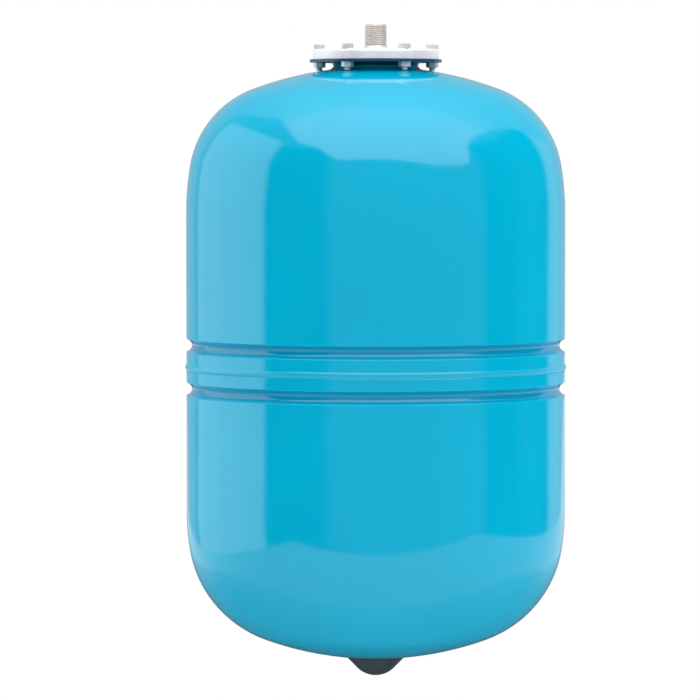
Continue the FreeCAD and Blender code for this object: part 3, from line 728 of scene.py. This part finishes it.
# %% Head profile
class Head:
    """Shoulder, knuckle and crown, which meet without a corner. Each arc's centre lies on the line from the
    next one's centre through the point where they meet. `up` is 1 for the upper head and -1 for the lower."""

    def __init__(self, crown, knuckle, shoulder, up):
        turn = math.radians(SHOULDER_ANGLE)
        shoulder_centre = tank_radius - shoulder
        knuckle_centre = shoulder_centre + (shoulder - knuckle) * math.cos(turn)
        knuckle_rise = (shoulder - knuckle) * math.sin(turn)
        crown_rise = knuckle_rise - math.sqrt((crown - knuckle) ** 2 - knuckle_centre ** 2)
        crown_angle = math.degrees(math.atan2(knuckle_rise - crown_rise, knuckle_centre))
        self.crown, self.up, self.crown_rise, self.crown_angle = crown, up, crown_rise, crown_angle
        self.depth = crown_rise + crown
        self.bends = [(shoulder_centre, 0, shoulder, 0, SHOULDER_ANGLE),
                      (knuckle_centre, knuckle_rise, knuckle, SHOULDER_ANGLE, crown_angle)]

    def skin(self, tangent, inset, end_angle):
        """Points from the cylinder to an angle on the crown, inset from the outer face."""
        bends = self.bends + [(0, self.crown_rise, self.crown, self.crown_angle, end_angle)]
        up = self.up
        return join(*[arc((away, tangent + up * rise), radius - inset, up * start, up * end, step=1.0)
                      for away, rise, radius, start, end in bends])


upper_head = Head(261.6 * MM, 73.7 * MM, 204.0 * MM, 1)
lower_head = Head(243.8 * MM, 84.8 * MM, 169.3 * MM, -1)
flare_away = COLLAR_RADIUS + COLLAR_FILLET
flare_rise = math.sqrt((upper_head.crown + COLLAR_FILLET) ** 2 - flare_away ** 2)
flare_angle = math.degrees(math.atan2(flare_rise, flare_away))
upper_tangent = ring_under - COLLAR_LAND - flare_rise - upper_head.crown_rise
lower_tangent = bottom + lower_head.depth
print("cylinder from", round(upper_tangent / MM, 2), "to", round(lower_tangent / MM, 2), "mm")


# %% Groove profile
def groove(middle, inset):
    """Rolled groove from its upper to its lower edge. Its flanks are straight, between small arcs at the wall
    and a wide arc at the root, of radius (corner * sine - depth * cosine) / (1 - cosine) of their angle."""
    turn = math.radians(GROOVE_FLANK)
    corner = GROOVE_HALF_WIDTH - GROOVE_EDGE * math.tan(turn / 2)
    root_radius = (corner * math.sin(turn) - GROOVE_DEPTH * math.cos(turn)) / (1 - math.cos(turn))
    edge_radius = max(GROOVE_EDGE - inset, GROOVE_INNER_EDGE)
    half_width = corner + (inset + edge_radius) * math.tan(turn / 2)
    rim = arc((tank_radius - inset - edge_radius, half_width), edge_radius, 0, -GROOVE_FLANK, step=12)
    root_place = (tank_radius - GROOVE_DEPTH + root_radius, 0)
    root = arc(root_place, root_radius + inset, 180 - GROOVE_FLANK, 180, step=4)
    upper = join(rim, straight(rim[-1], root[0]), root)
    return join(upper, upper[::-1] * (1, -1)) + (0, middle)


def upper_skin(inset):
    """Face of the upper half from the top of its collar to the seam."""
    away, wall = COLLAR_RADIUS - inset, tank_radius - inset
    hollow = groove(seam + GROOVE_FROM_SEAM, inset)
    land = ring_under - COLLAR_LAND
    return join(straight((away, ring_top), (away, land)),
                arc((flare_away, land), COLLAR_FILLET + inset, 180, 180 + flare_angle, step=6),
                upper_head.skin(upper_tangent, inset, flare_angle)[::-1],
                straight((wall, upper_tangent), (wall, hollow[0, 1]), WALL_SPACING),
                hollow,
                straight((wall, hollow[-1, 1]), (wall, gap_high), SEAM_SPACING))


def lower_skin(inset, hole):
    """Face of the lower half from below the seam to the hole for the valve."""
    wall = tank_radius - inset
    hollow = groove(seam - GROOVE_FROM_SEAM, inset)
    end = math.degrees(math.acos(hole / (lower_head.crown - inset)))
    return join(straight((wall, bead_low - inset), (wall, hollow[0, 1]), SEAM_SPACING),
                hollow,
                straight((wall, hollow[-1, 1]), (wall, lower_tangent), WALL_SPACING),
                lower_head.skin(lower_tangent, inset, end))


print("points on the upper skin:", len(upper_skin(0)))


# %% Uneven sheet
UNEVEN, UNEVEN_LENGTH = 0.05 * MM, 60 * MM
FADE_START, FADE_WIDTH = 0.35, 0.5
# How strong each wave is, how often it goes round, how fast it turns with height, and where it starts.
UNEVEN_WAVES = [(1.0, 3, 0.7, 0), (0.7, 7, -1.3, 2), (0.5, 12, 2.1, 4), (0.6, 0, 1.7, 1)]


def uneven(grid):
    """Moves a grid in and out by a sum of slow waves, which fades out near the neck and the valve. Both faces
    of the sheet move together."""
    away = np.hypot(grid[..., 0], grid[..., 1])
    turn = np.arctan2(grid[..., 1], grid[..., 0])
    height = grid[..., 2] / UNEVEN_LENGTH
    waves = sum(share * np.sin(round_it * turn + along * height + begin)
                for share, round_it, along, begin in UNEVEN_WAVES)
    fade = np.clip((away / tank_radius - FADE_START) / FADE_WIDTH, 0, 1)
    share = 1 + UNEVEN * waves * fade / np.maximum(away, MM)
    return np.stack([grid[..., 0] * share, grid[..., 1] * share, grid[..., 2]], axis=-1)


print("sheet is uneven by about", UNEVEN / MM, "mm")

# %% Upper and lower half
# Few enough sides that each half has under 200,000 triangles. A larger STL file would be thinned.
SHELL_SIDES = 264
VALVE_HOLE = 6.5 * MM
upper_loop = join(upper_skin(0), upper_skin(WALL)[::-1])
joggle = through(
    (tank_radius - WALL, bead_low - WALL), (lip - WALL, gap_low - WALL / 2), (lip - WALL, seam + LIP_HEIGHT),
    (lip, seam + LIP_HEIGHT), (lip, gap_low), (tank_radius, bead_low))
lower_loop = join(joggle, lower_skin(0, VALVE_HOLE), lower_skin(WALL, VALVE_HOLE)[::-1])[:-1]
stand_in("upper_shell", uneven(spun(upper_loop, SHELL_SIDES)))
stand_in("lower_shell", uneven(spun(lower_loop, SHELL_SIDES)))

# %% [markdown]
# ## The girth weld
# Between the grooves one bead of weld joins the halves. The torch leaves a ripple every two millimetres, and
# the paint softens it. The bead's section is a low arc, and each ripple is a small wave along the bead whose
# crest trails at the edges, as molten metal freezes. All of it is one formula on the grid.

# %% Girth weld
RIPPLE_PITCH, RIPPLE_DEPTH, RIPPLE_TRAIL = 2.0 * MM, 0.05 * MM, 1.2
POINTS_PER_RIPPLE, ROOT_SPACING = 6, 3 * MM
half = BEAD_HEIGHT / 2
crest_radius = (half ** 2 + BEAD_PROUD ** 2) / (2 * BEAD_PROUD)
crest_spread = math.degrees(math.asin(half / crest_radius))
crest_middle = (tank_radius + BEAD_PROUD - crest_radius, seam)
crest = arc(crest_middle, crest_radius, crest_spread, -crest_spread, step=8)
root = through((tank_radius, bead_low), (lip, gap_low), (lip, gap_high), (tank_radius, gap_high),
               (tank_radius, bead_high), spacing=ROOT_SPACING)
ripples = round(2 * math.pi * tank_radius / RIPPLE_PITCH)
bead = spun(join(crest, root)[:-1], ripples * POINTS_PER_RIPPLE)
bead_turn = np.arctan2(bead[..., 1], bead[..., 0])
bead_away = np.hypot(bead[..., 0], bead[..., 1])
from_middle = (bead[..., 2] - seam) / half
rise = np.clip(1 - from_middle ** 2, 0, 1) * (bead_away > tank_radius)
wave = RIPPLE_DEPTH * rise * np.sin(ripples * bead_turn + 2 * np.pi * RIPPLE_TRAIL * from_middle ** 2)
bead[..., :2] *= (1 + wave / bead_away)[..., None]
stand_in("girth_weld", uneven(bead))


# %% [markdown]
# ## Threads and hexagons
# A thread is a wave that climbs as it goes round: it depends on the height along the axis less the turn's
# share of one pitch. A hexagon is a ring whose distance from the axis is half the width across its flats,
# divided by the cosine of the angle from the nearest flat's middle. Both are formulas on the same grid as
# everything else, so a bolt is one closed surface from the middle of its head to the end of its thread.


# %% Thread and hexagon
TURNED_SHARE, FLAT_SHARE, TURNING_ANGLE = 0.475, 0.97, 30


def thread(low, high, crest, depth, pitch, turns, rows_per_pitch, chamfer_low=0.0, chamfer_high=0.0):
    """Rows of a male thread from low to high. The distance from the axis falls from the crest by half the
    depth times 1 less the cosine of height / pitch - turn / full circle. A cone trims the ends' crests."""
    height = np.linspace(low, high, max(3, round((high - low) / pitch * rows_per_pitch)))[:, None]
    phase = height / pitch - turns / (2 * np.pi)
    away = crest - depth * (0.5 - 0.5 * np.cos(2 * np.pi * phase))
    for size, end in ((chamfer_low, height - low), (chamfer_high, high - height)):
        if size:
            away = np.minimum(away, crest - size + end)
    return round_axis(away, height, turns)


def hexagon(across_flats, turns, start=0.0):
    """Distance from the axis at each turn, with a corner at the start."""
    from_flat = np.mod(turns - start, np.pi / 3) - np.pi / 6
    return across_flats / 2 / np.cos(from_flat)


def ring(away, height, turns):
    """One row of a grid: a distance and a height, each the same all round or one for each turn."""
    return round_axis(away, height, turns)[None]


def hex_end(across_flats, height, up, turns, start):
    """Rows of a hexagon's turned-off end, from its flat ring out to its corners: the corners lie lower than
    the ring by their extra distance times the tangent of the turning angle."""
    inner = TURNED_SHARE * across_flats
    corners = hexagon(across_flats, turns, start)
    drop = (corners - inner) * math.tan(math.radians(TURNING_ANGLE))
    return [ring(inner * FLAT_SHARE, height, turns), ring(inner, height, turns),
            ring(corners, height - up * drop, turns)]


print("corner of an 8 mm hexagon:", round(float(hexagon(8 * MM, np.array([0.0]))[0]) / MM, 3), "mm")

# %% Flange bolts and nuts
BOLTS, BOLT_SIDES = 6, 48
BOLT_CIRCLE, BOLT_RADIUS, BOLT_PITCH, THREAD_SHOWN = 42.0 * MM, 2.5 * MM, 0.8 * MM, 4.0 * MM
BOLT_CHAMFER, THREAD_RUNOUT, NUT_CLEARANCE = 0.5 * MM, 0.1 * MM, 0.05 * MM
ACROSS_FLATS, HEAD_TURN = 8.0 * MM, 11.0
BOLT_DEPTH = 0.61 * BOLT_PITCH
plate_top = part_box("counter_flange")[1][2]


def flange_bolt(low, high, start):
    """Grid of a bolt on its own axis, from the middle of its head down to the end of its thread."""
    turns = start + full_turn(BOLT_SIDES)
    corners = hexagon(ACROSS_FLATS, turns, start)
    thread_top = low + THREAD_SHOWN
    threaded = thread(low, thread_top - THREAD_RUNOUT, BOLT_RADIUS, BOLT_DEPTH, BOLT_PITCH, turns,
                      rows_per_pitch=8, chamfer_low=BOLT_CHAMFER)
    return np.concatenate([
        *hex_end(ACROSS_FLATS, high, 1, turns, start), ring(corners, plate_top, turns),
        ring(BOLT_RADIUS, plate_top, turns), ring(BOLT_RADIUS, thread_top, turns), threaded[::-1]])


def flange_nut(low, high):
    """Grid of a nut on its own axis, from its upper face round its flats and back up its bore."""
    turns = full_turn(BOLT_SIDES)
    bore = BOLT_RADIUS + NUT_CLEARANCE
    return np.concatenate([
        *hex_end(ACROSS_FLATS, high, 1, turns, 0.0), *hex_end(ACROSS_FLATS, low, -1, turns, 0.0)[::-1],
        ring(bore, low, turns), ring(bore, high, turns)])


for number in range(BOLTS):
    bolt, nut = f"flange_bolt_{number + 1}", f"flange_nut_{number + 1}"
    turn = 2 * math.pi * number / BOLTS
    centre = np.array([BOLT_CIRCLE * math.cos(turn), BOLT_CIRCLE * math.sin(turn), 0])
    head = flange_bolt(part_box(bolt)[0][2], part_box(bolt)[1][2], math.radians(HEAD_TURN * number))
    stand_in(bolt, head + centre, looped=False, sharp=40)
    stand_in(nut, flange_nut(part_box(nut)[0][2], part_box(nut)[1][2]) + centre, sharp=25)

# %% [markdown]
# ## The pipe connection
# A short steel pipe with a fine male thread is welded into the counter-flange. Its thread is a G 3/8, with
# 19 turns to the inch. The weld at its foot is a small hollow fillet with ripples of its own.

# %% Pipe nozzle and its weld
PIPE_PITCH = 25.4 / 19 * MM
PIPE_DEPTH = 0.64 * PIPE_PITCH
PIPE_RADIUS, PIPE_SHANK, PIPE_BORE, PIPE_CHAMFER = 8.331 * MM, 7.9 * MM, 5.6 * MM, 1.0 * MM
MOUTH_ROUND, BORE_MARGIN, FOOT_MARGIN = 0.5 * MM, 0.1 * MM, 0.2 * MM
NOZZLE_SIDES = 96
foot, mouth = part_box("pipe_nozzle")[0][2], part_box("pipe_nozzle")[1][2]
bore_top = mouth - MOUTH_ROUND
nozzle = np.concatenate([
    spun(through((PIPE_BORE, foot), (PIPE_SHANK, foot), (PIPE_SHANK, 0.0)), NOZZLE_SIDES),
    thread(0.0, mouth, PIPE_RADIUS, PIPE_DEPTH, PIPE_PITCH, full_turn(NOZZLE_SIDES),
           rows_per_pitch=12, chamfer_high=PIPE_CHAMFER)[1:],
    spun(arc((PIPE_BORE + MOUTH_ROUND, bore_top), MOUTH_ROUND, 90, 180, step=15), NOZZLE_SIDES),
    spun(straight((PIPE_BORE, bore_top - BORE_MARGIN), (PIPE_BORE, foot + FOOT_MARGIN)), NOZZLE_SIDES),
])
stand_in("pipe_nozzle", nozzle)

WELD_HEIGHT, WELD_WIDTH, WELD_FULLNESS = 2.8 * MM, 2.6 * MM, 0.4
WELD_RIPPLES, WELD_RIPPLE_DEPTH, WELD_STEPS = 34, 0.10 * MM, 8
share = np.linspace(0, 1, WELD_STEPS + 1)
bow = 4 * (0.5 - WELD_FULLNESS) * share * (1 - share)
away, height = PIPE_SHANK + WELD_WIDTH * (1 - share - bow), plate_top + WELD_HEIGHT * (share - bow)
face = np.append(np.stack([away, height], axis=1), [[PIPE_SHANK, plate_top]], axis=0)
fillet = spun(face, POINTS_PER_RIPPLE * WELD_RIPPLES)
fillet_turn = np.arctan2(fillet[..., 1], fillet[..., 0])
middle = np.concatenate([np.sin(np.pi * share), [0.0]])[:, None]
wave = WELD_RIPPLE_DEPTH * middle * np.sin(WELD_RIPPLES * fillet_turn + 2 * middle)
fillet[..., :2] *= (1 + wave / np.hypot(fillet[..., 0], fillet[..., 1]))[..., None]
fillet[..., 2] += wave
stand_in("nozzle_weld", fillet)

# %% [markdown]
# ## The air valve and its cover
# Under the tank a brass air valve is screwed into a boss, and a moulded cover keeps dirt off it. The cover is
# a bowl with a round nose, a cone that runs up to the tank, and a hub inside that grips the stem. It is one
# profile from the middle of its nose round the rim to the middle of its floor. The stem has the fine thread
# that every tyre pump fits, and a hexagon for a spanner.

# %% Valve cover
COVER_RADIUS, NOSE_RADIUS, COVER_WALL = 22.2 * MM, 19.5 * MM, 1.6 * MM
STEM_RADIUS, HUB_WALL, GRIP_CLEARANCE, COVER_GAP = 3.87 * MM, 1.7 * MM, 0.05 * MM, 0.3 * MM
HEX_HEIGHT, GASKET_THICKNESS = 3.0 * MM, 1.0 * MM
NEAR_AXIS, NEAR_NOSE, COVER_SIDES = 0.2 * MM, -89.5, 144
hex_top = bottom - GASKET_THICKNESS
hex_under = hex_top - HEX_HEIGHT
nose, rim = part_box("valve_cover")[0][2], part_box("valve_cover")[1][2]
centre = (0.0, nose + NOSE_RADIUS)
reach = math.hypot(COVER_RADIUS, rim - centre[1])
lean = math.degrees(math.atan2(rim - centre[1], COVER_RADIUS))
tangent = lean - math.degrees(math.acos(NOSE_RADIUS / reach))
outer = arc(centre, NOSE_RADIUS, NEAR_NOSE, tangent)
inner = arc(centre, NOSE_RADIUS - COVER_WALL, NEAR_NOSE, tangent)
slope = (COVER_RADIUS - outer[-1, 0]) / (rim - outer[-1, 1])
inner_rim = inner[-1, 0] + slope * (rim - inner[-1, 1])
hub_bore = STEM_RADIUS + GRIP_CLEARANCE
hub_outer = hub_bore + HUB_WALL
hub_top = hex_under - COVER_GAP
floor_height = nose + COVER_WALL
root_angle = -math.degrees(math.acos(hub_outer / (NOSE_RADIUS - COVER_WALL)))
inner_to_hub = arc(centre, NOSE_RADIUS - COVER_WALL, tangent, root_angle)
over_rim = through(outer[-1], (COVER_RADIUS, rim), (inner_rim, rim), inner[-1])
round_hub = through(inner_to_hub[-1], (hub_outer, hub_top), (hub_bore, hub_top), (hub_bore, floor_height),
                    (NEAR_AXIS, floor_height))
cover = spun(join(outer, over_rim, inner_to_hub, round_hub), COVER_SIDES)
stand_in("valve_cover", cover, body="valve_cover", looped=False, sharp=35)

# %% Valve stem
STEM_PITCH, STEM_DEPTH, STEM_CHAMFER = 25.4 / 32 * MM, 0.42 * MM, 0.5 * MM
STEM_FLATS, STEM_THREAD, STEM_BORE, CORE_BORE = 14.0 * MM, 5.0 * MM, 2.1 * MM, 2.65 * MM
CORE_STEP, CORE_TAPER = 5.4 * MM, 1.0 * MM
THREAD_END, UNDERCUT_START, STEM_SIDES = 0.8 * MM, 0.6 * MM, 72
stem_mouth, stem_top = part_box("valve_stem")[0][2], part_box("valve_stem")[1][2]
undercut = STEM_RADIUS - STEM_DEPTH
turns = full_turn(STEM_SIDES)
stem = np.concatenate([
    thread(stem_mouth, hex_under - THREAD_END, STEM_RADIUS, STEM_DEPTH, STEM_PITCH, turns,
           rows_per_pitch=10, chamfer_low=STEM_CHAMFER),
    ring(undercut, hex_under - UNDERCUT_START, turns), ring(undercut, hex_under, turns),
    *hex_end(STEM_FLATS, hex_under, -1, turns, 0.0),
    ring(hexagon(STEM_FLATS, turns), hex_top, turns), ring(STEM_THREAD, hex_top, turns),
    ring(STEM_THREAD, stem_top, turns),
    ring(STEM_BORE, stem_top, turns), ring(STEM_BORE, stem_mouth + CORE_STEP + CORE_TAPER, turns),
    ring(CORE_BORE, stem_mouth + CORE_STEP, turns), ring(CORE_BORE, stem_mouth, turns),
])
stand_in("valve_stem", stem, sharp=40)

# %% [markdown]
# ## The valve core's spring
# Pressing the valve's pin shortens its spring from below, while its upper end stays on a ledge. The spring is
# made again as a tube round an even helix, from the foot to the top of the packed spring.

# %% Core spring
SPRING_WIRE, SPRING_COILS, STEPS_PER_COIL, WIRE_SIDES = 0.3 * MM, 7, 24, 10
(_, _, spring_foot), (spring_reach, _, spring_top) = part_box("core_spring")
spring_height = spring_top - spring_foot
coil = np.linspace(0, 2 * np.pi * SPRING_COILS, STEPS_PER_COIL * SPRING_COILS + 1)[:, None]
round_wire = full_turn(WIRE_SIDES)
climbed = (spring_height - SPRING_WIRE) * coil / coil[-1]
away = spring_reach - SPRING_WIRE / 2 * (1 - np.cos(round_wire))
height = spring_foot + SPRING_WIRE / 2 * (1 + np.sin(round_wire)) + climbed
spring_piece = stand_in("core_spring", round_axis(away, height, coil), looped=False)
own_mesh(spring_piece)
